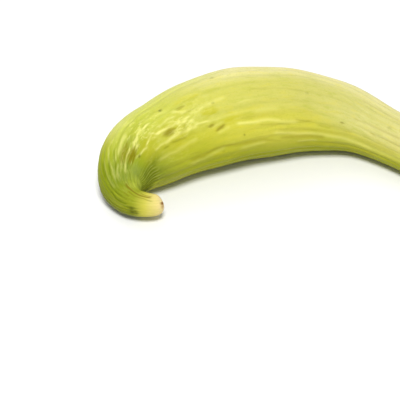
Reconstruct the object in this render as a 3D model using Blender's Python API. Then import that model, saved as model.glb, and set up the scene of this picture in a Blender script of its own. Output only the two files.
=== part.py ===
"""An Armenian cucumber, as picked: one crescent of ribbed fruit whose stem end curls back in a hook.

The fruit lies on the plane z = 0, on its side, with the hollow of the crescent towards -Y.
It is one grown piece, so it is one object. Sizes are millimetres until the mesh is written.
"""

import math

import bpy
import numpy as np

MM = 0.001

# The spine, from the stem scar to the blossom end, seen from above.
# Each station: distance along the spine, heading in degrees from +X, radius of the flesh,
# and how far the underside is off the surface.
STATIONS = (
    (0, 212, 7.0, 6.0),
    (10, 173, 8.4, 4.6),
    (20, 151, 9.6, 3.0),
    (31, 121, 11.0, 1.6),
    (42, 85, 17.2, 0.5),
    (54, 56, 23.8, 0.0),
    (68, 35, 28.0, 0.6),
    (86, 35, 30.4, 1.0),
    (112, 28, 33.2, 0.4),
    (146, 18.5, 34.8, 0.0),
    (186, 10.5, 32.4, 0.4),
    (224, -9.5, 26.5, 1.0),
    (258, -35, 20.7, 0.8),
    (290, -43, 18.6, 0.1),
    (314, -50, 17.2, 0.0),
    (336, -56, 15.6, 0.0),
)
LENGTH = STATIONS[-1][0]

# Both ends close in a rounded cap: its length, and how square its shoulder is.
STEM_CAP = (5.5, 2.6)
BLOSSOM_CAP = (15.0, 2.1)

# Ribs run the whole length, with furrows between them that sway and fade a little.
RIBS = 24
SIDES = 4 * RIBS
FURROW_DEPTH = 0.8
FURROW_WIDTH = 0.24

# Each sway: how far, in ribs, how often it turns round the fruit, and its run along it.
RIB_SWAYS = ((0.045, 2, 23), (0.027, -3, 11))

# How strong the furrows are, and how that changes from one to the next and along them.
FURROW_MEAN = 0.62
FURROW_FADES = ((0.24, 2.4, 31), (0.14, 5.1, 17))

# Broad lobes and slow swellings that keep the fruit from being a turned shape: height and runs.
LOBES = (0.55, 60, 45)
SWELLS = (0.45, 9.5, 27)

# The flesh radius from which lobes and furrows have their full height, and the lobes' least share.
LOBE_RADIUS = 22
LEAST_LOBES = 0.15
FURROW_RADIUS = 14

# The neck is plump on its inner side, and folds against the flank in a crease.
# Each: height, distance along the spine, length, angle round it in degrees, spread of that angle.
NECK_PLUMP = (3.2, 30, 6.5, 150, 55)
CREASE = (-1.3, 38.5, 1.5, 166, 34)

# Scars: a pit at the stem end, a puckered dimple with a button at the blossom end.
# Each: width and depth or height, and how far it reaches along the spine.
STEM_PIT = (2.2, 0.9, 3)
BLOSSOM_DIMPLE = (6.5, 1.5, 8)
BLOSSOM_BUTTON = (2.6, 1.6, 8)

# How far the fruit settles: what would sink under the surface is pressed flat.
SETTLE = 0.45

# Rings of points. In the caps they are spaced by arc, in degrees from the tip of the cap;
# between them by distance: first place, last place and step.
SPINE_STEP = 0.5
STEM_ARCS = (22, 42, 62, 82)
NECK_RINGS = (7.5, 35, 3.4)
CREASE_RINGS = (36, 41.5, 1.2)
HOOK_RINGS = (43, 60, 3.4)
BODY_RINGS = (64, 316, 8.6)
BLOSSOM_ARCS = (88, 70, 54, 40, 28, 18, 9)


def through(stations, values, at):
    """A smooth curve through the values at the stations, read at the places in at."""
    stations = np.asarray(stations, float)
    values = np.asarray(values, float)
    slopes = np.gradient(values, stations)
    k = np.clip(np.searchsorted(stations, at, side="right") - 1, 0, len(stations) - 2)
    width = stations[k + 1] - stations[k]
    t = (at - stations[k]) / width
    return (
        values[k] * (1 + 2 * t) * (1 - t) ** 2
        + values[k + 1] * t * t * (3 - 2 * t)
        + slopes[k] * width * t * (1 - t) ** 2
        - slopes[k + 1] * width * t * t * (1 - t)
    )


def hill(distance, width):
    """1 at distance 0, falling smoothly to nothing past the width."""
    return np.exp(-((distance / width) ** 2))


def cap_factor(distance, cap):
    """How much of its full radius the fruit has at this distance from an end."""
    length, squareness = cap
    inward = np.clip(1 - distance / length, 0, 1)
    return (1 - inward**squareness) ** (1 / squareness)


def spine():
    """Fine steps along the spine: distance, plan place, heading, radius and lift."""
    marks, headings, radii, lifts = (np.array(column, float) for column in zip(*STATIONS))
    s = np.arange(0, LENGTH + SPINE_STEP / 2, SPINE_STEP)
    heading = np.radians(through(marks, headings, s))
    step_x = np.cos(heading) * SPINE_STEP
    step_y = np.sin(heading) * SPINE_STEP
    x = np.concatenate([[0], np.cumsum((step_x[1:] + step_x[:-1]) / 2)])
    y = np.concatenate([[0], np.cumsum((step_y[1:] + step_y[:-1]) / 2)])
    return s, x, y, heading, through(marks, radii, s), through(marks, lifts, s)


def furrows(s, angle):
    """Depth of the furrows between the ribs, which sway and fade a little along the fruit."""
    turn = RIBS * (angle / (2 * math.pi))
    for sway, times, run in RIB_SWAYS:
        turn = turn + sway * np.sin(s / run + times * angle)
    number = np.round(turn)
    (fade, step, run), (small_fade, small_step, small_run) = FURROW_FADES
    strength = FURROW_MEAN + fade * np.sin(step * number + s / run)
    strength = strength + small_fade * np.sin(small_step * number - s / small_run)
    return FURROW_DEPTH * strength * hill(turn - number, FURROW_WIDTH)


def swelling(form, s, angle):
    """A bulge, or a hollow of negative height, at one place on the skin."""
    height, place, length, turn, spread = form
    return height * hill(s - place, length) * hill(np.degrees(angle) - turn, spread)


def relief(s, angle, radius):
    """How far the skin stands out from the smooth flesh."""
    height, run, back_run = LOBES
    lobes = height * np.sin(3 * angle + s / run) * np.sin(2 * angle - s / back_run)
    height, run, slow_run = SWELLS
    swells = height * np.sin(s / run + 2 * angle) * np.sin(s / slow_run - angle)
    broad = (lobes + swells) * np.clip(radius / LOBE_RADIUS, LEAST_LOBES, 1)
    ribs = -furrows(s, angle) * np.clip(radius / FURROW_RADIUS, 0, 1)
    return broad + ribs + swelling(NECK_PLUMP, s, angle) + swelling(CREASE, s, angle)


def scar(form, from_axis, from_end):
    """The height of a round scar on an end face."""
    wide, tall, reach = form
    return tall * hill(from_axis, wide) * hill(from_end, reach)


def end_scars(from_stem, from_axis, from_blossom):
    """How far the end faces are pushed along the spine by their scars."""
    pit = scar(STEM_PIT, from_axis, from_stem)
    dimple = scar(BLOSSOM_DIMPLE, from_axis, from_blossom)
    button = scar(BLOSSOM_BUTTON, from_axis, from_blossom)
    return pit - dimple + button


def skin(s, angle):
    """Points of the skin at distances s along the spine and angles round it, in millimetres.

    The angle is 0 on the outer side of the curve and 90 degrees on top.
    """
    marks, x, y, heading, radius, lift = spine()
    full = np.interp(s, marks, radius)
    closed = full * cap_factor(s, STEM_CAP) * cap_factor(LENGTH - s, BLOSSOM_CAP)
    out = closed + relief(s, angle, closed) * (closed / full)
    along = end_scars(s, closed, LENGTH - s)
    course = np.interp(s, marks, heading)
    side = out * np.cos(angle)
    px = np.interp(s, marks, x) - side * np.sin(course) + along * np.cos(course)
    py = np.interp(s, marks, y) + side * np.cos(course) + along * np.sin(course)
    pz = full + np.interp(s, marks, lift) + out * np.sin(angle) - SETTLE
    return np.stack([px, py, np.maximum(pz, 0)], axis=-1)


def ring_places():
    """Distances of the rings of points: close at the ends, the crease and the hook, wider on the body."""
    stem = STEM_CAP[0] * (1 - np.cos(np.radians(STEM_ARCS)))
    between = [np.arange(*rings) for rings in (NECK_RINGS, CREASE_RINGS, HOOK_RINGS, BODY_RINGS)]
    blossom = LENGTH - BLOSSOM_CAP[0] * (1 - np.cos(np.radians(BLOSSOM_ARCS)))
    return np.concatenate([stem, *between, blossom])


def closed_mesh(name, rings, first, last):
    """One closed mesh from rings of points and a point at each end."""
    count, sides, _ = rings.shape
    points = np.concatenate([rings.reshape(-1, 3), [first, last]])
    start, end = count * sides, count * sides + 1
    faces = []
    for i in range(count - 1):
        for j in range(sides):
            a = i * sides + j
            b = i * sides + (j + 1) % sides
            faces.append((a, b, b + sides, a + sides))
    for j in range(sides):
        after = (j + 1) % sides
        faces.append((start, after, j))
        faces.append(((count - 1) * sides + j, (count - 1) * sides + after, end))
    mesh = bpy.data.meshes.new(name)
    mesh.from_pydata((points * MM).tolist(), [], faces)
    mesh.shade_smooth()
    return mesh


def skin_material():
    """Pale yellow-green skin with a soft gloss."""
    material = bpy.data.materials.new("skin")
    material.use_nodes = True
    shader = material.node_tree.nodes["Principled BSDF"]
    shader.inputs["Base Color"].default_value = (0.60, 0.62, 0.13, 1)
    shader.inputs["Roughness"].default_value = 0.45
    shader.inputs["Metallic"].default_value = 0
    return material


def build():
    """The fruit, with the middle of its bounding box's base at the origin."""
    for old in list(bpy.data.objects):
        bpy.data.objects.remove(old)
    s = ring_places()
    angles = np.arange(SIDES) * 2 * math.pi / SIDES
    rings = skin(s[:, None], angles[None, :])
    ends = skin(np.array([0.0, LENGTH]), np.zeros(2))
    middle = (rings.reshape(-1, 3).min(0) + rings.reshape(-1, 3).max(0)) / 2
    shift = np.array([middle[0], middle[1], 0])
    mesh = closed_mesh("fruit", rings - shift, ends[0] - shift, ends[1] - shift)
    fruit = bpy.data.objects.new("fruit", mesh)
    fruit.data.materials.append(skin_material())
    bpy.context.scene.collection.objects.link(fruit)
    return fruit


build()
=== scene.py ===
"""The looks of an Armenian cucumber: its fine skin, its colours, a pale floor, soft light and a camera.

The fruit's form is worked out as in the part, from the same stations, with finer rings and finer relief.
Sizes are millimetres until the mesh is written, and angles round the spine are radians:
0 on the outer side of the curve, a quarter turn on top, half a turn in the hollow of the crescent.
The values at the head of this file give those angles in degrees.
"""

import math
from types import SimpleNamespace

import bpy
import numpy as np
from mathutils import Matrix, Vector


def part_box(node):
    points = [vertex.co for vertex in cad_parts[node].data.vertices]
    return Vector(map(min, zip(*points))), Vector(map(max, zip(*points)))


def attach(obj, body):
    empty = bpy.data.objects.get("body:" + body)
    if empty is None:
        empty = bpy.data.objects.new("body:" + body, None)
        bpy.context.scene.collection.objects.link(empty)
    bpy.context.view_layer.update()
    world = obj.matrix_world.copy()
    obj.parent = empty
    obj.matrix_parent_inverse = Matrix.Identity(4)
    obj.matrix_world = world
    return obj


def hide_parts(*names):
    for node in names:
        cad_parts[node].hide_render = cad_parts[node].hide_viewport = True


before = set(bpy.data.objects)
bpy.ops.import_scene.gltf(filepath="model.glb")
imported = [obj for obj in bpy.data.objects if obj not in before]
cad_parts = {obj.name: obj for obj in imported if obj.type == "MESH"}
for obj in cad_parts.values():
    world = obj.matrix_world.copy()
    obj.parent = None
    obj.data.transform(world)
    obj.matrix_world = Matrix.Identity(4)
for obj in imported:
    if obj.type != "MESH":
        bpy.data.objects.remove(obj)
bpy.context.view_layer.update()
MM = 0.001

# The spine, from the stem scar to the blossom end: distance along it, heading in degrees from +X,
# radius of the flesh, and how far the underside is off the surface.
STATIONS = (
    (0, 212, 7.0, 6.0),
    (10, 173, 8.4, 4.6),
    (20, 151, 9.6, 3.0),
    (31, 121, 11.0, 1.6),
    (42, 85, 17.2, 0.5),
    (54, 56, 23.8, 0.0),
    (68, 35, 28.0, 0.6),
    (86, 35, 30.4, 1.0),
    (112, 28, 33.2, 0.4),
    (146, 18.5, 34.8, 0.0),
    (186, 10.5, 32.4, 0.4),
    (224, -9.5, 26.5, 1.0),
    (258, -35, 20.7, 0.8),
    (290, -43, 18.6, 0.1),
    (314, -50, 17.2, 0.0),
    (336, -56, 15.6, 0.0),
)
LENGTH = STATIONS[-1][0]
SPINE_STEP = 0.5

# Both ends close in a rounded cap: its length, and how square its shoulder is.
STEM_CAP = (5.5, 2.6)
BLOSSOM_CAP = (15.0, 2.1)

# Ribs run the whole length, with furrows between them that sway and fade a little.
RIBS = 24
FURROW_DEPTH = 0.8
FURROW_WIDTH = 0.24

# Each sway: how far, in ribs, how often it turns round the fruit, and its run along it.
RIB_SWAYS = ((0.045, 2, 23), (0.027, -3, 11))

# How strong the furrows are, and how that changes from one to the next and along them.
FURROW_MEAN = 0.62
FURROW_FADES = ((0.24, 2.4, 31), (0.14, 5.1, 17))

# Broad lobes and slow swellings that keep the fruit from being a turned shape: height and runs.
LOBES = (0.55, 60, 45)
SWELLS = (0.45, 9.5, 27)

# The flesh radius from which lobes and furrows have their full height, and the lobes' least share.
LOBE_RADIUS = 22
LEAST_LOBES = 0.15
FURROW_RADIUS = 14

# A place on the skin is written as a height or strength, the distance along the spine, a length,
# the angle round it and the spread of that angle.
# The neck is plump on its inner side, and folds against the flank in a crease.
NECK_PLUMP = (3.2, 30, 6.5, 150, 55)
CREASE = (-1.3, 38.5, 1.5, 166, 34)

# Scars: a pit at the stem end, a puckered dimple with a button at the blossom end.
# Each: width and depth or height, and how far it reaches along the spine.
STEM_PIT = (2.2, 0.9, 3)
BLOSSOM_DIMPLE = (6.5, 1.5, 8)
BLOSSOM_BUTTON = (2.6, 1.6, 8)

# How far the fruit settles: what would sink under the surface is pressed flat.
SETTLE = 0.45

# Fineness of the skin: points round each ring, and rings. In the caps the rings are spaced by arc, in
# degrees from the tip: first, end and step. Between them are gaps to the caps, and rings that crowd
# towards the hook. Round the fruit the points crowd towards the hollow of the crescent.
SIDES = 330
RINGS = 296
STEM_ARCS = (8, 86, 7)
BLOSSOM_ARCS = (4, 88, 4)
STEM_GAP = 0.6
BLOSSOM_GAP = 0.7
HOOK_CROWDING = 0.5
HOLLOW_CROWDING = 0.3

# Where the ribs are softer than in the part: they start behind the stem scar, and lose a share of their
# height on the shoulder's far side, and on the upper side past a distance (share, from, to, angle, spread).
RIBS_START = (2, 26)
WORN_SHOULDER = (0.55, 84, 36, 48, 34)
WORN_HALF = (0.45, 200, 250, 60, 50)

# Patterns of streaks: seed, least and greatest number round the fruit, and run along it.
WANDER = (21, 3, 9, 8)
GRAIN = (3, 28, 60, 24)
BROKEN = (5, 14, 42, 8)
CRINKLE = (8, 20, 60, 3)
NET = (61, 8, 26, 5)
VEINS = (51, 7, 22, 20)
SMOOTH_PATCHES = (17, 2, 9, 12)
NECK_STREAKS = (12, 14, 28, 8)
DASHES = (71, 6, 20, 4.5)
UNEVEN = (41, 6, 30, 14)
CROOK_EDGE = (29, 12, 36, 14)
SCRAPE_EDGE = (31, 30, 80, 1.8)

# Each pattern adds up this many waves, and is divided by their spread. They wander by some degrees.
WAVES = 34
WAVE_SPREAD = 1.6
WANDER_DEGREES = 2.4

# The grain and the veins wander less than that, and the crinkles more.
FINE_WANDER = 0.5
CRINKLE_WANDER = 2

# Spans of a pattern's height, in which smooth patches turn rough and dashes appear.
PATCH_SPAN = (-0.5, 0.4)
DASH_SPAN = (-0.3, 0.5)

# How wide the lines of the net and the veins are, as shares of their pattern's height.
NET_LINE = 0.34
VEIN_LINE = 0.14

# How wrinkled the skin is: everywhere, at most, in a ring round the hook (strength, distance, length),
# and at two places. It is smooth where the crook's folds are, and in patches.
WRINKLED_LEAST = 0.08
WRINKLED_MOST = 1.1
WRINKLED_RING = (0.08, 54, 18)
WRINKLED_PLACES = (
    (0.9, 54, 18, 96, 42),
    (1.0, 82, 26, 124, 26),
)
UNWRINKLED = (0.9, 50, 16, 174, 32)
LEAST_IN_PATCHES = 0.25

# The fine folds of the crook: how many to a full turn, where they start and end along the spine, how much
# later they end for each degree past an angle, and the angle and spread of their place.
FAN_FOLDS = 64
FAN_START = (37.5, 40)
FAN_END = (46, 62)
FAN_SLANT = (0.3, 150)
FAN_PLACE = (176, 30)

# How far they turn from the ribs, in degrees: up to a distance on the neck, and over a stretch of the flank.
NECK_TURN = 9
NECK_TURN_END = (36, 52)
FLANK_TURN = 6
FLANK_TURN_STRETCH = ((46, 72), (76, 120))
TURN_PLACE = (174, 42)

# The streaks of the neck: distance and length. They are broken into dashes, with a least share between.
NECK_PLACE = (24, 17)
LEAST_BETWEEN_DASHES = 0.15

# Heights and depths of the fine relief. The grain loses a part over a stretch.
GRAIN_HEIGHT = 0.07
GRAIN_LOST = (0.035, 120, 220)
BROKEN_HEIGHT = 0.12
CRINKLE_HEIGHT = 0.2
NET_HEIGHT = 0.2
FOLD_HEIGHT = 0.3
NECK_HEIGHT = 0.16
RIDGE_HEIGHT = 0.4
GROOVE_DEPTH = 0.2
VEIN_DEPTH = 0.04
DOT_DEPTH = 0.35
SCRAPE_DEPTH = 0.15

# The single ridges are uneven: their mean height, and how much crinkles and streaks change it.
RIDGE_MEAN = 0.85
RIDGE_CRINKLES = 0.35
RIDGE_STREAKS = 0.15

# The tops and bottoms of the wrinkles are where the broken streaks and a share of the crinkles are high
# or low. Spans of height, in which wrinkles and folds turn pale with a painted highlight and dark with
# painted shade, and the neck's streaks turn dark.
TOP_CRINKLES = 0.45
BOTTOM_CRINKLES = 0.8
WRINKLE_SPAN = (0.1, 1.2)
FOLD_SPAN = (0.1, 0.9)
NECK_SPAN = (0.2, 0.9)

# How strong the painted highlights on the net, the tops of wrinkles and the folds are, beside 1 for a full
# ridge.
NET_PAINTED_HIGHLIGHT = 0.2
WRINKLE_PAINTED_HIGHLIGHT = 0.15
FOLD_PAINTED_HIGHLIGHT = 0.3

# How dark the neck's dashes, the folds, the wrinkles and the veins are, beside 1 for a full groove; on the
# folds and wrinkles the dark is painted shade in their hollows.
# The veins are dark from a distance and an angle on.
DARK_NECK = 0.45
FOLD_PAINTED_SHADE = 0.5
WRINKLE_PAINTED_SHADE = 0.35
DARK_VEINS = 0.12
VEINS_START = (60, 120)
VEINS_SIDE = (50, 90)

# How a single ridge or groove runs: it wanders by some degrees with some run, and quivers most round the
# shoulder (distance and length). Its half width and its fade past the ends are shares of its width.
LINE_WANDER = (0.4, 6.3)
LINE_QUIVERS = ((0.5, 2.7), (0.4, 1.2))
QUIVER_PLACE = (60, 40)
LINE_HALF = 0.6
LINE_FADE = 1.2

# Single ridges and grooves that the eye picks out. Each row is the course of one, as distances and
# angles, then its width and how strong it is.
# The ridges are pale: their own paler tone with a painted highlight on it.
RIDGES = (
    (((48, 84), (50, 83), (54, 86)), 2.4, 0.8),
    (((44, 78), (47, 78)), 1.6, 0.6),
    (((36, 69), (39, 69), (41, 66), (44, 61), (48, 58)), 1.1, 0.45),
    (((33, 52), (38, 50), (44, 50)), 1.0, 0.35),
    (((38, 103), (46, 102), (48, 105), (51, 102)), 1.1, 0.65),
    (((52, 116), (55, 111), (59, 105), (63, 103), (69, 105)), 1.5, 1.0),
    (((52, 109), (53, 107), (57, 108)), 1.1, 0.7),
    (((60, 110), (61, 116), (63, 119)), 1.0, 0.6),
    (((67, 120), (71, 125), (78, 126), (81, 124)), 1.9, 0.75),
    (((67, 127), (72, 131), (76, 131)), 1.4, 0.3),
    (((51, 126), (57, 129), (61, 127), (66, 123)), 1.2, 0.8),
    (((48, 122), (50, 126), (54, 130)), 1.2, 0.5),
    (((36, 80), (38, 81), (40, 85)), 1.0, 0.45),
    (((66, 144), (73, 142), (77, 141)), 1.4, 0.5),
    (((55, 86), (58, 87), (61, 84)), 1.8, 0.35),
    (((77, 100), (80, 101), (84, 104)), 2.0, 0.3),
    (((76, 119), (79, 117), (86, 112)), 1.6, 0.6),
    (((76, 142), (82, 140), (91, 141), (98, 140)), 2.0, 1.0),
    (((98, 140), (101, 139), (110, 140)), 1.3, 0.8),
    (((82, 120), (85, 121), (86, 124)), 1.6, 0.7),
    (((82, 126), (85, 125), (87, 129)), 1.6, 0.7),
    (((82, 114), (86, 115)), 1.5, 0.5),
    (((88, 126), (92, 125), (96, 126)), 1.8, 0.9),
    (((88, 127), (92, 129), (97, 132)), 2.0, 0.9),
    (((89, 111), (92, 115), (95, 116)), 1.8, 0.6),
    (((100, 123), (105, 123), (110, 121)), 1.8, 0.7),
    (((110, 121), (121, 119), (127, 119)), 2.2, 0.45),
    (((114, 149), (118, 148.5), (121, 147)), 1.7, 0.5),
    (((118, 158), (121, 157), (125, 155)), 1.7, 0.4),
    (((110, 140), (116, 141), (123, 142), (135, 141)), 2.0, 0.35),
    (((68, 160), (84, 158), (95, 156)), 2.4, 0.3),
    (((92, 187), (102, 187), (111, 184), (118, 181)), 2.6, 0.32),
    (((136, 154), (144, 155), (152, 156)), 1.9, 0.9),
    (((150, 156), (160, 156), (168, 158)), 2.3, 0.7),
    (((166, 157), (172, 160), (183, 162)), 2.8, 0.5),
    (((138, 186), (156, 185)), 2.2, 0.36),
    (((167, 174), (178, 176), (188, 179), (204, 180)), 2.2, 0.65),
    (((188, 191), (205, 191)), 1.5, 0.5),
    (((138, 141), (156, 143), (167, 144)), 2.4, 0.35),
    (((140, 129), (150, 128)), 1.7, 0.35),
    (((204, 180), (231, 181), (241, 183), (262, 182)), 2.6, 0.5),
    (((262, 182), (292, 177)), 3.0, 0.35),
    (((226, 147), (250, 146), (275, 142)), 2.6, 0.3),
)
GROOVES = (
    (((16, 16), (21, 15)), 1.4, 0.5),
    (((15, -7), (20, 0)), 1.4, 0.5),
    (((22, 26), (28, 27), (31, 36)), 1.1, 1.0),
    (((116.5, 155), (119, 154), (122, 151.5)), 1.8, 0.7),
    (((111, 147), (113, 146)), 1.8, 0.45),
    (((229, 155), (233, 155)), 0.9, 0.6),
    (((26, 51), (30, 47)), 1.0, 0.6),
    (((22, 60), (25, 66)), 0.9, 0.5),
    (((9, 77), (13, 79), (16, 81), (20, 88), (24, 94), (29, 95)), 1.1, 1.0),
    (((8, 57), (12, 66), (19, 70), (23, 79)), 1.0, 0.6),
    (((8, 85), (11, 86), (15, 94)), 0.8, 0.7),
    (((17, 98), (29, 112)), 0.9, 0.4),
    (((32, 41), (35, 47), (38, 44), (41, 42)), 1.0, 0.4),
    (((33, 55), (39, 56)), 1.0, 0.35),
    (((35, 68), (38, 70)), 1.0, 0.35),
    (((39, 42), (43, 42)), 1.4, 0.7),
    (((40, 62), (42, 62)), 2.0, 0.5),
    (((40, 77), (42, 78), (44, 74), (47, 72)), 1.3, 0.55),
    (((41, 98), (43, 95), (44, 88)), 1.2, 0.5),
    (((40, 109), (44, 109), (48, 115)), 1.2, 0.6),
    (((55, 105), (57, 103)), 1.0, 0.5),
    (((73, 149), (75, 149)), 1.2, 0.6),
    (((80, 146), (83, 147), (88, 148)), 1.6, 0.45),
    (((81, 169), (88, 171), (97, 174)), 1.6, 0.25),
    (((92, 182), (102, 183), (111, 179), (120, 177), (139, 181), (158, 182)), 2.8, 0.42),
    (((142, 181), (150, 181), (158, 183), (170, 186)), 2.0, 0.3),
    (((140, 148), (150, 149), (172, 151)), 3.4, 0.22),
    (((152, 115), (192, 120)), 1.9, 0.22),
    (((154, 160), (166, 163), (178, 165)), 1.6, 0.3),
    (((171, 170), (183, 172), (209, 174), (224, 175), (241, 172), (281, 170)), 3.2, 0.3),
    (((173, 182), (188, 184), (211, 184)), 3.4, 0.45),
    (((185, 159), (193, 161), (198, 161)), 1.5, 0.35),
    (((189, 196), (204, 198), (231, 198), (247, 202), (263, 201)), 3.2, 0.3),
    (((206, 101), (226, 99)), 1.9, 0.2),
    (((210, 167), (229, 166), (240, 168)), 2.8, 0.3),
    (((243, 140), (265, 137), (281, 134)), 2.0, 0.3),
    (((245, 98), (257, 95), (273, 98)), 2.2, 0.3),
    (((261, 152), (264, 154)), 1.6, 0.3),
)

# Healed scrapes and yellow patches: distance, angle, length, width and strength.
TAN_PATCHES = (
    (46.5, 95, 4.6, 2.6, 0.55),
    (47, 113, 4.0, 2.4, 0.8),
    (79, 132, 3.8, 2.0, 0.75),
    (112, 147, 2.0, 1.3, 0.35),
    (119.5, 153, 2.8, 1.3, 0.4),
    (94, 110, 3.0, 1.2, 0.45),
    (1.5, 39, 1.3, 1.2, 0.95),
    (2, 20, 0.8, 1.6, 0.5),
)
YELLOW_PATCHES = (
    (114, 130, 6.5, 2.8, 0.65),
    (128, 145, 8.0, 3.4, 0.55),
    (104, 104, 9.0, 4.5, 0.28),
    (142, 142, 9.0, 3.0, 0.35),
)

# Dark dots: distance, angle, size and strength.
DARK_DOTS = (
    (18, 11, 1.5, 0.9),
    (16, 1, 1.3, 0.75),
    (17.5, -8, 1.6, 1.0),
    (15.5, -11, 1.2, 0.8),
    (49, 127, 0.9, 0.8),
    (82, 96, 1.2, 0.9),
    (120, 185, 0.9, 0.35),
    (139, 169, 0.9, 0.6),
    (231, 155, 1.0, 0.35),
    (119, 121, 0.9, 0.45),
    (197, 122, 1.2, 0.3),
    (272, 124, 1.2, 0.3),
    (129, 81, 1.3, 0.5),
)

# How ragged the edge of a scrape is, and how far its edge and a yellow patch's edge fade out.
SCRAPE_RAGGED = 0.5
TAN_FADE = 2.4
YELLOW_FADE = 2.0

# Soft spots of painted light on the neck, paler or greyer than the rest.
LIT_SPOTS = (
    (0.7, 32, 5.5, 150, 34),
    (0.7, 26, 5.5, 126, 30),
)
GREY_PAINTED_LIGHT_SPOTS = ((0.4, 40, 5, 133, 24),)

# Painted shade in the hollow of the hook, laid on as a deep green: its strength, where it starts and ends
# along the spine, and its upper and lower side. Its end is ragged, and comes later for each degree past an
# angle. Its lower side drops for each millimetre past a distance.
CROOK_STRENGTH = 0.8
CROOK_START = (39.5, 44)
CROOK_END = (50, 84)
CROOK_UPPER = (136, 160)
CROOK_LOWER = (176, 205)
CROOK_RAGGED = 3
CROOK_SLANT = (0.2, 150)
CROOK_DROP = (0.6, 49)


def through(stations, values, at):
    """A smooth curve through the values at the stations, read at the places in at."""
    stations = np.asarray(stations, float)
    values = np.asarray(values, float)
    slopes = np.gradient(values, stations)
    k = np.clip(np.searchsorted(stations, at, side="right") - 1, 0, len(stations) - 2)
    width = stations[k + 1] - stations[k]
    t = (at - stations[k]) / width
    return (
        values[k] * (1 + 2 * t) * (1 - t) ** 2
        + values[k + 1] * t * t * (3 - 2 * t)
        + slopes[k] * width * t * (1 - t) ** 2
        - slopes[k + 1] * width * t * t * (1 - t)
    )


def hill(distance, width):
    """1 at distance 0, falling smoothly to nothing past the width."""
    return np.exp(-((distance / width) ** 2))


def rise(value, low, high):
    """0 below low, 1 above high, smooth between."""
    t = np.clip((value - low) / (high - low), 0, 1)
    return t * t * (3 - 2 * t)


def stretch(s, start, end):
    """1 along a stretch of the spine, 0 before and after it. Each end is a pair of distances."""
    return rise(s, *start) * (1 - rise(s, *end))


def cap_factor(distance, cap):
    """How much of its full radius the fruit has at this distance from an end."""
    length, squareness = cap
    inward = np.clip(1 - distance / length, 0, 1)
    return (1 - inward**squareness) ** (1 / squareness)


def closing(s):
    """How much of its full radius the fruit has at a distance along the spine."""
    return cap_factor(s, STEM_CAP) * cap_factor(LENGTH - s, BLOSSOM_CAP)


def spine():
    """Fine steps along the spine: distance, plan place, heading, radius and lift."""
    marks, headings, radii, lifts = (np.array(column, float) for column in zip(*STATIONS))
    s = np.arange(0, LENGTH + SPINE_STEP / 2, SPINE_STEP)
    heading = np.radians(through(marks, headings, s))
    step_x = np.cos(heading) * SPINE_STEP
    step_y = np.sin(heading) * SPINE_STEP
    x = np.concatenate([[0], np.cumsum((step_x[1:] + step_x[:-1]) / 2)])
    y = np.concatenate([[0], np.cumsum((step_y[1:] + step_y[:-1]) / 2)])
    return s, x, y, heading, through(marks, radii, s), through(marks, lifts, s)


def furrows(s, angle):
    """Depth of the furrows between the ribs, which sway and fade a little along the fruit."""
    turn = RIBS * (angle / (2 * math.pi))
    for sway, times, run in RIB_SWAYS:
        turn = turn + sway * np.sin(s / run + times * angle)
    number = np.round(turn)
    (fade, step, run), (small_fade, small_step, small_run) = FURROW_FADES
    strength = FURROW_MEAN + fade * np.sin(step * number + s / run)
    strength = strength + small_fade * np.sin(small_step * number - s / small_run)
    return FURROW_DEPTH * strength * hill(turn - number, FURROW_WIDTH)


def swelling(form, s, angle):
    """A bulge, or a hollow of negative height, at one place on the skin."""
    height, place, length, turn, spread = form
    return height * hill(s - place, length) * hill(np.degrees(angle) - turn, spread)


def strongest(forms, s, angle):
    """How much each point is in one of the soft spots."""
    return np.maximum.reduce([swelling(form, s, angle) for form in forms])


def unworn(s, angle):
    """The share of the ribs' height that is left, where they are softer than in the part."""
    lost, start, full, turn, spread = WORN_HALF
    half = lost * rise(s, start, full) * hill(np.degrees(angle) - turn, spread)
    return rise(s, *RIBS_START) * (1 - swelling(WORN_SHOULDER, s, angle)) * (1 - half)


def relief(s, angle, radius):
    """How far the skin stands out from the smooth flesh."""
    height, run, back_run = LOBES
    lobes = height * np.sin(3 * angle + s / run) * np.sin(2 * angle - s / back_run)
    height, run, slow_run = SWELLS
    swells = height * np.sin(s / run + 2 * angle) * np.sin(s / slow_run - angle)
    broad = (lobes + swells) * np.clip(radius / LOBE_RADIUS, LEAST_LOBES, 1)
    ribs = -unworn(s, angle) * furrows(s, angle) * np.clip(radius / FURROW_RADIUS, 0, 1)
    return broad + ribs + swelling(NECK_PLUMP, s, angle) + swelling(CREASE, s, angle)


def scar(form, from_axis, from_end):
    """The height of a round scar on an end face."""
    wide, tall, reach = form
    return tall * hill(from_axis, wide) * hill(from_end, reach)


def end_scars(from_stem, from_axis, from_blossom):
    """How far the end faces are pushed along the spine by their scars."""
    pit = scar(STEM_PIT, from_axis, from_stem)
    dimple = scar(BLOSSOM_DIMPLE, from_axis, from_blossom)
    button = scar(BLOSSOM_BUTTON, from_axis, from_blossom)
    return pit - dimple + button


def streaks(pattern, s, angle):
    """An even, seamless pattern of long streaks, about -1 to 1."""
    seed, least, greatest, run = pattern
    draw = np.random.default_rng(seed)
    total = np.zeros(np.broadcast(s, angle).shape)
    for _ in range(WAVES):
        count = draw.integers(least, greatest + 1)
        phase = draw.uniform(0, 2 * math.pi)
        drift = draw.normal(0, 1) / run
        total += np.cos(count * angle + drift * s + phase)
    return total / math.sqrt(WAVES / 2) / WAVE_SPREAD


def turn_from(angle, degrees):
    """The turn from an angle in degrees to each point, in radians, the short way round."""
    return (angle - np.radians(degrees) + math.pi) % (2 * math.pi) - math.pi


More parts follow.
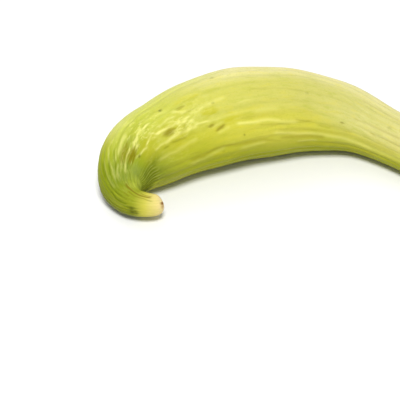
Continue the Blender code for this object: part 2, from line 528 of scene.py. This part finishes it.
def lines(rows, s, angle, radius):
    """How much each point is on one of the single ridges or grooves."""
    total = np.zeros(np.broadcast(s, angle).shape)
    wander, wander_run = LINE_WANDER
    (quiver, run), (small_quiver, small_run) = LINE_QUIVERS
    place, length = QUIVER_PLACE
    shaky = hill(s - place, length)
    for course, wide, strength in rows:
        places, turns = zip(*course)
        line = np.interp(s, places, turns) + wander * np.sin(s / wander_run + turns[0])
        quivers = quiver * np.sin(s / run + turns[0]) + small_quiver * np.sin(s / small_run + turns[-1])
        beside = turn_from(angle, line + shaky * quivers) * radius / (LINE_HALF * wide)
        beyond = np.maximum(np.maximum(places[0] - s, s - places[-1]), 0) / (LINE_FADE * wide)
        total = np.maximum(total, strength * np.exp(-(beside**2) - beyond**2))
    return total


def wrinkling(s, angle):
    """How wrinkled the skin is: most round the hook and on the shoulder after it."""
    ring, place, length = WRINKLED_RING
    total = WRINKLED_LEAST + ring * hill(s - place, length)
    for form in WRINKLED_PLACES:
        total = total + swelling(form, s, angle)
    return np.clip(total, 0, WRINKLED_MOST)


def fan_course(s, angle):
    """How far the fine folds of the crook turn from the ribs, in radians."""
    degrees = NECK_TURN * (1 - rise(s, *NECK_TURN_END)) + FLANK_TURN * stretch(s, *FLANK_TURN_STRETCH)
    turn, spread = TURN_PLACE
    return np.radians(degrees) * hill(np.degrees(angle) - turn, spread)


def fan(s, angle):
    """The fine folds pressed into the crook of the hook, -1 to 1."""
    degrees = np.degrees(angle)
    later, from_turn = FAN_SLANT
    turn, spread = FAN_PLACE
    place = rise(s, *FAN_START) * (1 - rise(s - later * (degrees - from_turn), *FAN_END))
    return place * hill(degrees - turn, spread) * np.cos(FAN_FOLDS * (angle - fan_course(s, angle)))


def thin_net(pattern, wide):
    """Thin lines where a pattern changes sign."""
    return 1 - rise(np.abs(pattern), 0, wide)


def fine_patterns(s, angle, radius):
    """What the fine relief and its colours are made of, at each point."""
    wander = math.radians(WANDER_DEGREES) * streaks(WANDER, s, angle)
    plain = wrinkling(s, angle)
    crinkle = streaks(CRINKLE, s, angle + CRINKLE_WANDER * wander)
    rough = rise(streaks(SMOOTH_PATCHES, s, angle), *PATCH_SPAN)
    rough = LEAST_IN_PATCHES + (1 - LEAST_IN_PATCHES) * rough
    dashes = rise(streaks(DASHES, s, angle), *DASH_SPAN)
    uneven = RIDGE_MEAN + RIDGE_CRINKLES * plain * crinkle + RIDGE_STREAKS * streaks(UNEVEN, s, angle)
    place, length = NECK_PLACE
    return SimpleNamespace(
        grain=streaks(GRAIN, s, angle + FINE_WANDER * wander),
        broken=streaks(BROKEN, s, angle + wander),
        crinkle=crinkle,
        net=thin_net(streaks(NET, s, angle + wander), NET_LINE),
        veins=thin_net(streaks(VEINS, s, angle + FINE_WANDER * wander), VEIN_LINE),
        wrinkled=plain * rough * (1 - swelling(UNWRINKLED, s, angle)),
        folds=fan(s, angle),
        neck=hill(s - place, length) * streaks(NECK_STREAKS, s, angle),
        dashes=LEAST_BETWEEN_DASHES + (1 - LEAST_BETWEEN_DASHES) * dashes,
        ridge=lines(RIDGES, s, angle, radius) * uneven,
        groove=lines(GROOVES, s, angle, radius),
    )


def fine_relief(patterns, s):
    """The height of the fine ridges and wrinkles on the ribs."""
    lost, start, end = GRAIN_LOST
    grain = patterns.grain * (GRAIN_HEIGHT - lost * rise(s, start, end))
    wrinkles = BROKEN_HEIGHT * patterns.broken + CRINKLE_HEIGHT * patterns.crinkle + NET_HEIGHT * patterns.net
    pressed = FOLD_HEIGHT * patterns.folds + NECK_HEIGHT * patterns.neck * patterns.dashes
    single = RIDGE_HEIGHT * patterns.ridge - GROOVE_DEPTH * patterns.groove
    veins = VEIN_DEPTH * patterns.veins * (1 - np.clip(patterns.wrinkled, 0, 1))
    return grain + patterns.wrinkled * wrinkles + pressed + single - veins


def crests(patterns):
    """How pale each point is: a single ridge's own paler tone with a painted highlight, and painted
    highlights on the net, the wrinkles' tops and the folds' tops.
    """
    tops = WRINKLE_PAINTED_HIGHLIGHT * rise(patterns.broken + TOP_CRINKLES * patterns.crinkle, *WRINKLE_SPAN)
    crest = patterns.ridge + patterns.wrinkled * (NET_PAINTED_HIGHLIGHT * patterns.net + tops)
    return np.clip(np.maximum(crest, FOLD_PAINTED_HIGHLIGHT * rise(patterns.folds, *FOLD_SPAN)), 0, 1)


def dark_lines(patterns, s, angle):
    """How much each point is in a dark line: the single grooves, the neck's dashes and the veins, and painted
    shade in the hollows of the folds and wrinkles.
    """
    neck = DARK_NECK * patterns.dashes * rise(-patterns.neck, *NECK_SPAN)
    folds = FOLD_PAINTED_SHADE * rise(-patterns.folds, *FOLD_SPAN)
    bottoms = rise(-patterns.broken - BOTTOM_CRINKLES * patterns.crinkle, *WRINKLE_SPAN)
    wrinkles = WRINKLE_PAINTED_SHADE * patterns.wrinkled * bottoms
    veins = DARK_VEINS * patterns.veins * rise(s, *VEINS_START) * rise(np.degrees(angle), *VEINS_SIDE)
    return np.clip(patterns.groove + neck + folds + wrinkles + veins, 0, 1)


def crook_shade(s, angle):
    """How much painted shade, laid on as a deep green, each point has in the hollow of the hook."""
    degrees = np.degrees(angle)
    later, from_turn = CROOK_SLANT
    drop, from_place = CROOK_DROP
    end = s + CROOK_RAGGED * streaks(CROOK_EDGE, s, angle) - later * (degrees - from_turn)
    side = rise(degrees, *CROOK_UPPER) * (1 - rise(degrees - drop * (s - from_place), *CROOK_LOWER))
    return CROOK_STRENGTH * side * rise(s, *CROOK_START) * (1 - rise(end, *CROOK_END))


def away_from(place, turn, long, wide, s, angle, radius):
    """How far each point is from a place, beside the length and width of a mark there, squared."""
    return ((s - place) / long) ** 2 + (turn_from(angle, turn) * radius / wide) ** 2


def patches(rows, fade, s, angle, radius):
    """How much each point is in one of the patches, which have a ragged edge."""
    total = np.zeros(np.broadcast(s, angle).shape)
    ragged = SCRAPE_RAGGED * streaks(SCRAPE_EDGE, s, angle)
    for place, turn, long, wide, strength in rows:
        away = away_from(place, turn, long, wide, s, angle, radius)
        total = np.maximum(total, strength * (1 - rise(away + ragged, 0, fade)))
    return total


def dots(rows, s, angle, radius):
    """How much each point is in one of the dark dots."""
    total = np.zeros(np.broadcast(s, angle).shape)
    for place, turn, size, strength in rows:
        total = np.maximum(total, strength * np.exp(-away_from(place, turn, size, size, s, angle, radius)))
    return total


def skin(s, angle):
    """Points of the skin at distances s along the spine and angles round it, and what its colours need."""
    marks, x, y, heading, radius, lift = spine()
    full = np.interp(s, marks, radius)
    closed = full * closing(s)
    patterns = fine_patterns(s, angle, full)
    tan = patches(TAN_PATCHES, TAN_FADE, s, angle, full)
    speck = dots(DARK_DOTS, s, angle, full)
    fine = fine_relief(patterns, s) * np.clip(closed / FURROW_RADIUS, 0, 1)
    fine = fine - DOT_DEPTH * speck - SCRAPE_DEPTH * tan
    out = closed + (relief(s, angle, closed) + fine) * (closed / full)
    along = end_scars(s, closed, LENGTH - s)
    course = np.interp(s, marks, heading)
    side = out * np.cos(angle)
    px = np.interp(s, marks, x) - side * np.sin(course) + along * np.cos(course)
    py = np.interp(s, marks, y) + side * np.cos(course) + along * np.sin(course)
    pz = full + np.interp(s, marks, lift) + out * np.sin(angle) - SETTLE
    signs = {
        "furrow": furrows(s, angle) / FURROW_DEPTH,
        "crest": crests(patterns),
        "groove": dark_lines(patterns, s, angle),
        "wrinkled": np.clip(patterns.wrinkled, 0, 1),
        "crook": crook_shade(s, angle),
        "lit": strongest(LIT_SPOTS, s, angle),
        "grey_painted_light": strongest(GREY_PAINTED_LIGHT_SPOTS, s, angle),
        "tan": tan,
        "yellow": patches(YELLOW_PATCHES, YELLOW_FADE, s, angle, full),
        "speck": speck,
    }
    return np.stack([px, py, np.maximum(pz, 0)], axis=-1), signs


def ring_places():
    """Distances of the rings of points, closer at the ends and in the hook."""
    stem = STEM_CAP[0] * (1 - np.cos(np.radians(np.arange(*STEM_ARCS))))
    blossom = LENGTH - BLOSSOM_CAP[0] * (1 - np.cos(np.radians(np.arange(*BLOSSOM_ARCS)[::-1])))
    first = stem[-1] + STEM_GAP
    last = blossom[0] - BLOSSOM_GAP
    even = np.linspace(0, 1, RINGS - len(stem) - len(blossom))
    crowded = (1 - HOOK_CROWDING) * even + HOOK_CROWDING * even**2
    return np.concatenate([stem, first + (last - first) * crowded, blossom])


def closed_mesh(name, rings, first, last):
    """One closed mesh from rings of points and a point at each end."""
    count, sides, _ = rings.shape
    points = np.concatenate([rings.reshape(-1, 3), [first, last]])
    start, end = count * sides, count * sides + 1
    faces = []
    for i in range(count - 1):
        for j in range(sides):
            a = i * sides + j
            b = i * sides + (j + 1) % sides
            faces.append((a, b, b + sides, a + sides))
    for j in range(sides):
        after = (j + 1) % sides
        faces.append((start, after, j))
        faces.append(((count - 1) * sides + j, (count - 1) * sides + after, end))
    mesh = bpy.data.meshes.new(name)
    mesh.from_pydata((points * MM).tolist(), [], faces)
    mesh.shade_smooth()
    return mesh


def add_sign(mesh, name, values):
    """Writes one number for each point of the mesh."""
    attribute = mesh.attributes.new(name, "FLOAT", "POINT")
    attribute.data.foreach_set("value", np.asarray(values, np.float32).ravel())


def add_straight(mesh, along, around):
    """Writes where each point would be on a straight fruit of radius 1, for the patterns of the skin."""
    middle_radius = 30
    reach = closing(along)
    laid = np.stack([along / middle_radius, reach * np.cos(around), reach * np.sin(around)], axis=-1)
    attribute = mesh.attributes.new("straight", "FLOAT_VECTOR", "POINT")
    attribute.data.foreach_set("vector", laid.astype(np.float32).ravel())


def make_fruit():
    """The fruit at its place in the frame."""
    s = ring_places()
    even = np.arange(SIDES) * 2 * math.pi / SIDES
    crowded = even + HOLLOW_CROWDING * np.sin(even)
    angles = crowded[None, :] + fan_course(s[:, None], crowded[None, :])
    rings, signs = skin(s[:, None], angles)
    ends, end_signs = skin(np.array([0.0, LENGTH]), np.zeros(2))
    low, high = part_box("fruit")
    flat = rings.reshape(-1, 3)
    shift = (flat.min(0) + flat.max(0)) / 2 - np.array(low + high) / 2 / MM
    shift[2] = 0
    mesh = closed_mesh("fruit_skin", rings - shift, ends[0] - shift, ends[1] - shift)
    for name, values in signs.items():
        spread = np.broadcast_to(values, rings.shape[:2]).ravel()
        add_sign(mesh, name, np.concatenate([spread, end_signs[name]]))
    along = np.concatenate([np.repeat(s, SIDES), [0, LENGTH]])
    add_sign(mesh, "along", along / LENGTH)
    add_straight(mesh, along, np.concatenate([angles.ravel(), [0, 0]]))
    fruit = bpy.data.objects.new("fruit_skin", mesh)
    bpy.context.scene.collection.objects.link(fruit)
    return fruit


class Nodes:
    """A short way to write a material's nodes."""

    def __init__(self, name):
        self.material = bpy.data.materials.new(name)
        self.material.use_nodes = True
        self.tree = self.material.node_tree
        self.shader = self.tree.nodes["Principled BSDF"]

    def add(self, kind, **settings):
        """A node with some settings."""
        node = self.tree.nodes.new(kind)
        for key, value in settings.items():
            setattr(node, key, value)
        return node

    def put(self, source, socket):
        """Links a socket, or sets a plain value."""
        if isinstance(source, bpy.types.NodeSocket):
            self.tree.links.new(source, socket)
        else:
            socket.default_value = source

    def set_shader(self, values):
        """Sets plain values of the shader, by name."""
        for name, value in values.items():
            self.shader.inputs[name].default_value = value

    def sign(self, name, output="Fac"):
        """What the mesh says of each point under this name."""
        return self.add("ShaderNodeAttribute", attribute_name=name).outputs[output]

    def math(self, operation, a, b):
        """A sum, product or the like of two numbers."""
        node = self.add("ShaderNodeMath", operation=operation)
        self.put(a, node.inputs[0])
        self.put(b, node.inputs[1])
        return node.outputs[0]

    def span(self, value, low, high, to_low=0.0, to_high=1.0):
        """Maps low..high to to_low..to_high, smoothly and within them."""
        node = self.add("ShaderNodeMapRange", interpolation_type="SMOOTHSTEP")
        self.put(value, node.inputs["Value"])
        node.inputs["From Min"].default_value = low
        node.inputs["From Max"].default_value = high
        node.inputs["To Min"].default_value = to_low
        node.inputs["To Max"].default_value = to_high
        return node.outputs["Result"]

    def scaled(self, vector, along):
        """The vector with its first part, along the fruit, scaled."""
        node = self.add("ShaderNodeVectorMath", operation="MULTIPLY")
        self.put(vector, node.inputs[0])
        node.inputs[1].default_value = (along, 1, 1)
        return node.outputs["Vector"]

    def noise(self, vector, scale, detail, roughness, distortion):
        """Soft noise, about 0.5 on average."""
        node = self.add("ShaderNodeTexNoise")
        self.put(vector, node.inputs["Vector"])
        node.inputs["Scale"].default_value = scale
        node.inputs["Detail"].default_value = detail
        node.inputs["Roughness"].default_value = roughness
        node.inputs["Distortion"].default_value = distortion
        return node.outputs["Fac"]

    def shaken(self, vector, scale, amount):
        """The vector moved about by a noise."""
        node = self.add("ShaderNodeTexNoise")
        self.put(vector, node.inputs["Vector"])
        node.inputs["Scale"].default_value = scale
        moved = self.add("ShaderNodeVectorMath", operation="MULTIPLY_ADD")
        self.put(node.outputs["Color"], moved.inputs[0])
        moved.inputs[1].default_value = (amount, amount, amount)
        self.put(vector, moved.inputs[2])
        return moved.outputs["Vector"]

    def cell_edges(self, vector, scale):
        """The distance to the nearest edge of a net of uneven cells."""
        node = self.add("ShaderNodeTexVoronoi", feature="DISTANCE_TO_EDGE")
        self.put(vector, node.inputs["Vector"])
        node.inputs["Scale"].default_value = scale
        return node.outputs["Distance"]

    def mix(self, factor, a, b):
        """Colour a, or colour b where the factor is 1."""
        node = self.add("ShaderNodeMix", data_type="RGBA", blend_type="MIX")
        self.put(factor, node.inputs["Factor"])
        self.put(a, node.inputs["A"])
        self.put(b, node.inputs["B"])
        return node.outputs["Result"]

    def ramp(self, factor, stops):
        """A colour that changes from stop to stop. Each stop is a place from 0 to 1 and its colour."""
        node = self.add("ShaderNodeValToRGB")
        self.put(factor, node.inputs["Fac"])
        ramp = node.color_ramp
        while len(ramp.elements) < len(stops):
            ramp.elements.new(0.5)
        for element, (place, colour) in zip(ramp.elements, stops):
            element.position = place
            element.color = colour
        return node.outputs["Color"]


def linear(colour):
    """A colour given as screen values 0 to 255, in Blender's linear numbers, by the sRGB curve."""
    screen = np.array(colour) / 255
    curve = np.where(screen > 0.04045, ((screen + 0.055) / 1.055) ** 2.4, screen / 12.92)
    return (*curve.tolist(), 1)


# Colours of the skin along the top of the fruit: distance and screen values.
ALONG = (
    (0, (224, 200, 160)),
    (5, (217, 200, 124)),
    (11, (191, 184, 72)),
    (18, (140, 148, 32)),
    (34, (112, 128, 16)),
    (46, (138, 152, 22)),
    (58, (168, 175, 54)),
    (72, (183, 188, 72)),
    (112, (190, 188, 84)),
    (180, (192, 188, 96)),
    (240, (194, 190, 114)),
    (300, (200, 193, 124)),
    (330, (184, 172, 90)),
    (336, (138, 116, 56)),
)

# The other colours of the skin, as screen values.
# Cream: the skin's paler top, with painted rim light on it.
CREAM_AND_PAINTED_RIM_LIGHT = (224, 216, 156)
YELLOW = (196, 190, 34)
FAR_YELLOW = (183, 182, 26)
PATCH_YELLOW = (178, 174, 24)
STREAK_YELLOW = (206, 192, 44)
# Olive, also laid on the underside as painted shade.
OLIVE = (144, 150, 6)
# Painted shade on the underside's lowest strip, lighter than the olive above it.
PAINTED_LOW_STRIP_SHADE = (170, 172, 22)
SHOULDER_OLIVE = (166, 161, 26)
HOOK_LIGHT = (176, 186, 52)
# Painted rim light on the hook.
HOOK_PAINTED_RIM_LIGHT = (214, 216, 124)
# Painted light on the neck's inner side.
NECK_PAINTED_LIGHT = (180, 190, 76)
NECK_OUTER = (134, 138, 26)
# Greyer painted light at the edge of the hook's hollow.
GREY_PAINTED_LIGHT = (146, 160, 86)
# Painted shade under the neck.
NECK_PAINTED_SHADE = (90, 98, 6)
# Painted shade in the hollow of the hook.
CROOK_PAINTED_SHADE = (98, 113, 15)
STREAK_GREEN = (156, 164, 36)
# Dark lines, with painted shade in the hollows of folds and wrinkles among them.
GROOVE_AND_SHADE_GREEN = (98, 112, 8)
GROOVE_AND_SHADE_BROWN = (116, 98, 6)
# Pale crests, with painted highlights on them.
PALE_CREST_AND_HIGHLIGHT = (236, 232, 140)
TAN = (126, 116, 8)
SCAR_BROWN = (126, 80, 26)
SPECK = (84, 88, 14)

# Noises of the skin: scale along the fruit, then scale, detail, roughness and distortion.
NOISES = {
    "streaky": (0.28, 7.0, 4.0, 0.6, 0.3),
    "fine_streaks": (0.12, 24.0, 3.0, 0.6, 0.2),
    "mottle": (1.0, 22.0, 4.0, 0.65, 0.0),
    "broken_up": (0.6, 9.0, 3.0, 0.55, 0.0),
    "pores": (1.0, 60.0, 2.0, 0.5, 0.0),
}

# The net of uneven cells: scale along the fruit, scale and amount of the noise that shakes it, and scale.
CELLS = (0.5, 10.0, 0.1, 14.0)

# How a rim that leans away from the camera is found, where rim light is painted: shares of the outer side and
# of the top.
RIM_SHARES = (0.8, 0.6)

# A window is a measure of the skin, by name: alone, for its own value, or with where it is 0 and where
# it is 1, and perhaps a least value in place of 0. Several windows are multiplied. "along" is the
# distance, "outer" and "top" are 1 on those sides and -1 opposite, and "lifted" is "top" and a little
# more past the middle, by the share and windows of LIFT.
LIFT = (0.19, ("along", 130, 180), ("along", 300, 250))
BODY = (("along", 60, 100),)
NECK = (("along", 12, 22), ("along", 60, 46))
NECK_TOP = (("top", 0.75, 0.95), ("along", 34, 26))
NETTING = (("wrinkled",), ("broken_up", 0.46, 0.62), ("cells", 0.34, 0.03))

# The tints of the skin, in the order in which they are laid on: colour, strength and windows.
TINTS = (
    # Painted rim light: cream on the rim that leans away from the camera, over the skin's paler top.
    (CREAM_AND_PAINTED_RIM_LIGHT, 0.95, ("along", 80, 150), ("along", 300, 220, 0.55), ("rim", 0.28, 0.9)),
    (YELLOW, 0.5, *BODY, ("along", 240, 180), ("top", 0.74, 0.42)),
    (FAR_YELLOW, 0.58, ("along", 170, 215), ("top", 0.55, 0.05)),
    # Painted shade: olive towards the underside, over the skin's greener flank; lighter along the lowest
    # strip of the hook and shoulder.
    (OLIVE, 0.95, *BODY, ("lifted", 0.4, -0.5)),
    (PAINTED_LOW_STRIP_SHADE, 0.7, ("along", 48, 60), ("along", 140, 100), ("top", -0.2, -0.7)),
    (HOOK_LIGHT, 0.5, ("along", 38, 52), ("along", 90, 64), ("outer", -0.1, 0.35)),
    (OLIVE, 0.5, ("along", 56, 72), ("along", 140, 90), ("top", 0.8, 0.1)),
    (SHOULDER_OLIVE, 0.55, ("along", 44, 56), ("along", 104, 82), ("top", 0.98, 0.8), ("top", 0.1, 0.5)),
    # Painted rim light: pale on the rim of the hook and shoulder that leans away from the camera.
    (HOOK_PAINTED_RIM_LIGHT, 0.75, ("along", 46, 60), ("along", 150, 110), ("rim", 0.62, 0.98)),
    # Painted shade on the neck's underside.
    (NECK_PAINTED_SHADE, 0.9, *NECK, ("top", 0.2, -0.4)),
    (NECK_OUTER, 0.35, *NECK, ("outer", 0.5, 0.95)),
    # Painted light on the neck's inner side.
    (NECK_PAINTED_LIGHT, 1, ("lit",)),
    # Painted shade in the hollow of the hook.
    (CROOK_PAINTED_SHADE, 1, ("crook",)),
    # Greyer painted light at the edge of the hook's hollow.
    (GREY_PAINTED_LIGHT, 1, ("grey_painted_light",)),
    (PATCH_YELLOW, 1, ("yellow",)),
    (STREAK_GREEN, 0.3, ("streaky", 0.5, 0.74)),
    (STREAK_YELLOW, 0.22, *BODY, ("streaky", 0.5, 0.3)),
    (OLIVE, 0.13, ("fine_streaks", 0.5, 0.68)),
    (STREAK_GREEN, 0.28, ("mottle", 0.5, 0.75)),
    # Painted highlights on the net of wrinkles.
    (PALE_CREST_AND_HIGHLIGHT, 0.36, *NETTING),
    (OLIVE, 0.1, ("furrow", 0.25, 0.9)),
    # Pale crests: the single ridges' own paler tone with painted highlights, and painted highlights on the
    # net, the wrinkles' tops and the folds' tops.
    (PALE_CREST_AND_HIGHLIGHT, 0.62, ("crest",), ("along", 150, 80, 0.806)),
)

# How strongly the grooves are tinted, painted shade in the hollows of the folds and wrinkles with them, and
# the window in which a scrape is brown, as the stem scar is.
GROOVE_SHARE = 0.75
STEM_SCAR = ("along", 10, 5)

# The gloss of the skin: its roughness where the mottle is low and high, and plain values of the shader.
MOTTLE_SPAN = (0.3, 0.7)
ROUGHNESS = (0.34, 0.5)
SKIN_SHADER = {
    "IOR": 1.3,
    "Specular IOR Level": 0.18,
    "Subsurface Weight": 0.12,
    "Subsurface Radius": (1.0, 0.8, 0.25),
    "Subsurface Scale": 0.004,
}

# The finest bumps: strength, height in metres, and shares of the pores and the netting.
BUMP_STRENGTH = 0.12
BUMP_HEIGHT = 0.0006
BUMP_PORES = 0.5
BUMP_NETTING = 1.2


def skin_measures(nodes):
    """The measures of the skin, by the names that the windows use."""
    straight = nodes.sign("straight", "Vector")
    parts = nodes.add("ShaderNodeSeparateXYZ")
    nodes.put(straight, parts.inputs[0])
    outer = parts.outputs["Y"]
    top = parts.outputs["Z"]
    outer_share, top_share = RIM_SHARES
    leaning = nodes.math("MULTIPLY", outer, outer_share)
    rim = nodes.math("ADD", leaning, nodes.math("MULTIPLY", top, top_share))
    measures = {"outer": outer, "top": top, "rim": rim}
    measures["along"] = nodes.math("MULTIPLY", nodes.sign("along"), LENGTH)
    share, *windows = LIFT
    measures["lifted"] = nodes.math("ADD", top, product(nodes, measures, windows, share))
    for name in ("furrow", "crest", "groove", "wrinkled", "crook", "lit", "grey_painted_light", "tan", "yellow", "speck"):
        measures[name] = nodes.sign(name)
    for name, (along, *rest) in NOISES.items():
        measures[name] = nodes.noise(nodes.scaled(straight, along), *rest)
    along, shaking, amount, scale = CELLS
    measures["cells"] = nodes.cell_edges(nodes.shaken(nodes.scaled(straight, along), shaking, amount), scale)
    return measures


def product(nodes, measures, windows, strength=1):
    """The product of some windows and a strength."""
    total = strength
    for name, *limits in windows:
        if limits:
            low, high, *least = limits
            value = nodes.span(measures[name], low, high, *least)
        else:
            value = measures[name]
        total = value if total == 1 else nodes.math("MULTIPLY", value, total)
    return total


def skin_colour(nodes, measures):
    """Yellow-green with streaks, pale crests, dark lines in the grooves and healed scrapes, with painted rim
    light, painted highlights on the crests, and painted shade on the underside and in the hollows.
    """
    colour = nodes.ramp(nodes.sign("along"), [(place / LENGTH, linear(shade)) for place, shade in ALONG])
    for tint, strength, *windows in TINTS:
        colour = nodes.mix(product(nodes, measures, windows, strength), colour, linear(tint))
    # The dark lines, painted shade in the hollows of folds and wrinkles among them: brown on the body and the
    # neck's top, green elsewhere.
    brown = nodes.math("MAXIMUM", product(nodes, measures, BODY), product(nodes, measures, NECK_TOP))
    dark = nodes.mix(brown, linear(GROOVE_AND_SHADE_GREEN), linear(GROOVE_AND_SHADE_BROWN))
    colour = nodes.mix(product(nodes, measures, [("groove", 0, 1)], GROOVE_SHARE), colour, dark)
    healed = nodes.mix(product(nodes, measures, [STEM_SCAR]), linear(TAN), linear(SCAR_BROWN))
    colour = nodes.mix(measures["tan"], colour, healed)
    return nodes.mix(measures["speck"], colour, linear(SPECK))


def skin_bumps(nodes, measures):
    """Bumps too fine for the mesh: fine streaks, pores and netting."""
    bump = nodes.add("ShaderNodeBump")
    bump.inputs["Strength"].default_value = BUMP_STRENGTH
    bump.inputs["Distance"].default_value = BUMP_HEIGHT
    fine = nodes.math("ADD", measures["fine_streaks"], nodes.math("MULTIPLY", measures["pores"], BUMP_PORES))
    height = nodes.math("ADD", fine, product(nodes, measures, NETTING, BUMP_NETTING))
    nodes.put(height, bump.inputs["Height"])
    return bump.outputs["Normal"]


def skin_material():
    """The skin: its colour, a waxy gloss and fine bumps."""
    nodes = Nodes("cucumber_skin")
    measures = skin_measures(nodes)
    nodes.put(skin_colour(nodes, measures), nodes.shader.inputs["Base Color"])
    nodes.put(nodes.span(measures["mottle"], *MOTTLE_SPAN, *ROUGHNESS), nodes.shader.inputs["Roughness"])
    nodes.set_shader(SKIN_SHADER)
    nodes.put(skin_bumps(nodes, measures), nodes.shader.inputs["Normal"])
    return nodes.material


# The floor is matt near-white paper. It reaches this far each way from the middle, in metres.
FLOOR_REACH = 4.0
FLOOR_SHADER = {
    "Base Color": (0.86, 0.86, 0.86, 1),
    "Roughness": 0.9,
    "Specular IOR Level": 0.2,
}


def make_floor():
    """A wide pale floor under the fruit."""
    nodes = Nodes("studio_floor")
    nodes.set_shader(FLOOR_SHADER)
    reach = FLOOR_REACH
    corners = [(-reach, -reach, 0), (reach, -reach, 0), (reach, reach, 0), (-reach, reach, 0)]
    mesh = bpy.data.meshes.new("studio_floor")
    mesh.from_pydata(corners, [], [(0, 1, 2, 3)])
    floor = bpy.data.objects.new("studio_floor", mesh)
    floor.data.materials.append(nodes.material)
    bpy.context.scene.collection.objects.link(floor)


# The light: an even white surround, and square lamps that aim at one point. Each lamp: name, place and
# size in metres, and power in watts. The key is above the camera, the other is broad and behind the fruit.
SURROUND_STRENGTH = 0.42
LAMP_AIM = (-0.02, 0.0, 0.03)
LAMPS = (
    ("key", (-0.02, -0.75, 1.25), 0.4, 19),
    ("back", (-0.3, 0.85, 1.0), 1.1, 5.5),
)


def aim(thing, place, target):
    """Puts a lamp or a camera at a place, and turns it to a target."""
    thing.location = place
    thing.rotation_mode = "QUATERNION"
    thing.rotation_quaternion = (Vector(target) - Vector(place)).to_track_quat("-Z", "Y")
    bpy.context.scene.collection.objects.link(thing)


def make_lights():
    """A white studio."""
    world = bpy.data.worlds.new("studio")
    world.use_nodes = True
    background = world.node_tree.nodes["Background"]
    background.inputs["Color"].default_value = (1, 1, 1, 1)
    background.inputs["Strength"].default_value = SURROUND_STRENGTH
    bpy.context.scene.world = world
    for name, place, size, power in LAMPS:
        data = bpy.data.lights.new(name, "AREA")
        data.shape = "SQUARE"
        data.size = size
        data.energy = power
        aim(bpy.data.objects.new(name, data), place, LAMP_AIM)
    bpy.context.scene.view_settings.view_transform = "Standard"


# The camera looks down at the fruit along +Y. Its aim is the point of the surface in the picture's
# middle. Places are metres, the lens and the sensor millimetres.
CAMERA_AIM = (-0.0613, -0.0352, 0.0)
CAMERA_HEIGHT_DEGREES = 38
CAMERA_DISTANCE = 0.8
CAMERA_LENS = 100
CAMERA_SENSOR = 36


def make_camera():
    """A long lens at the photograph's viewing angle."""
    data = bpy.data.cameras.new("camera")
    data.lens = CAMERA_LENS
    data.sensor_width = CAMERA_SENSOR
    camera = bpy.data.objects.new("camera", data)
    tilt = math.radians(CAMERA_HEIGHT_DEGREES)
    back = Vector((0, -math.cos(tilt), math.sin(tilt)))
    aim(camera, Vector(CAMERA_AIM) + back * CAMERA_DISTANCE, CAMERA_AIM)
    bpy.context.scene.camera = camera


fruit = make_fruit()
fruit.data.materials.append(skin_material())
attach(fruit, "root")
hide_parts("fruit")
make_floor()
make_lights()
make_camera()
